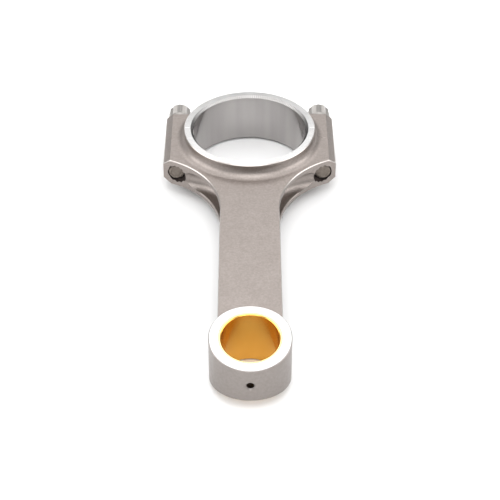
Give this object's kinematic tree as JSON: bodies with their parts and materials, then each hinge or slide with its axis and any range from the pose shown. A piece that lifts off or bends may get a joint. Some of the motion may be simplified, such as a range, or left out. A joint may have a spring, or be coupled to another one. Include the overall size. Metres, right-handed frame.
{
  "type": "connecting rod",
  "caption": "H-beam connecting rod with a bushed, tapered small end and a split big end whose cap is held by twelve-point cap screws.",
  "frame": {"origin": "middle of the underside of the rod's bounding box, with the rod lying flat", "axes": "+Z along both bores, +Y from the small end to the cap, +X to the right when looking along +Y"},
  "size_m": [0.0814, 0.193, 0.0254],
  "materials": {
    "rod_steel": "shot-peened satin on the forging, bright ground faces at both ends, honed big-end bore",
    "bushing_bronze": "bored bronze",
    "bolt_steel": "plain satin alloy steel",
    "sleeve_steel": "ground steel"
  },
  "bodies": {
    "rod": {"rod_body": "rod_steel", "pin_bushing": "bushing_bronze", "dowel_sleeve_left": "sleeve_steel", "dowel_sleeve_right": "sleeve_steel"},
    "cap": {"rod_cap": "rod_steel"},
    "left_bolt": {"bolt_left": "bolt_steel"},
    "right_bolt": {"bolt_right": "bolt_steel"}
  },
  "joints": [
    {"name": "cap_lift", "type": "slide", "parent": "rod", "child": "cap", "axis": [0, 1, 0], "range_m": [0, 0.014]},
    {"name": "bolt_left_turn", "type": "hinge", "parent": "cap", "child": "left_bolt", "pos_m": [-0.03439, 0.0855, 0.0127], "axis": [0, 1, 0], "range_deg": [0, 4763]},
    {"name": "bolt_right_turn", "type": "hinge", "parent": "cap", "child": "right_bolt", "pos_m": [0.03439, 0.0855, 0.0127], "axis": [0, 1, 0], "range_deg": [0, 4763]}
  ],
  "couplings": [
    {"joint": "bolt_left_turn", "follows": "cap_lift", "rad_per_m": 5936.9},
    {"joint": "bolt_right_turn", "follows": "cap_lift", "rad_per_m": 5936.9}
  ]
}
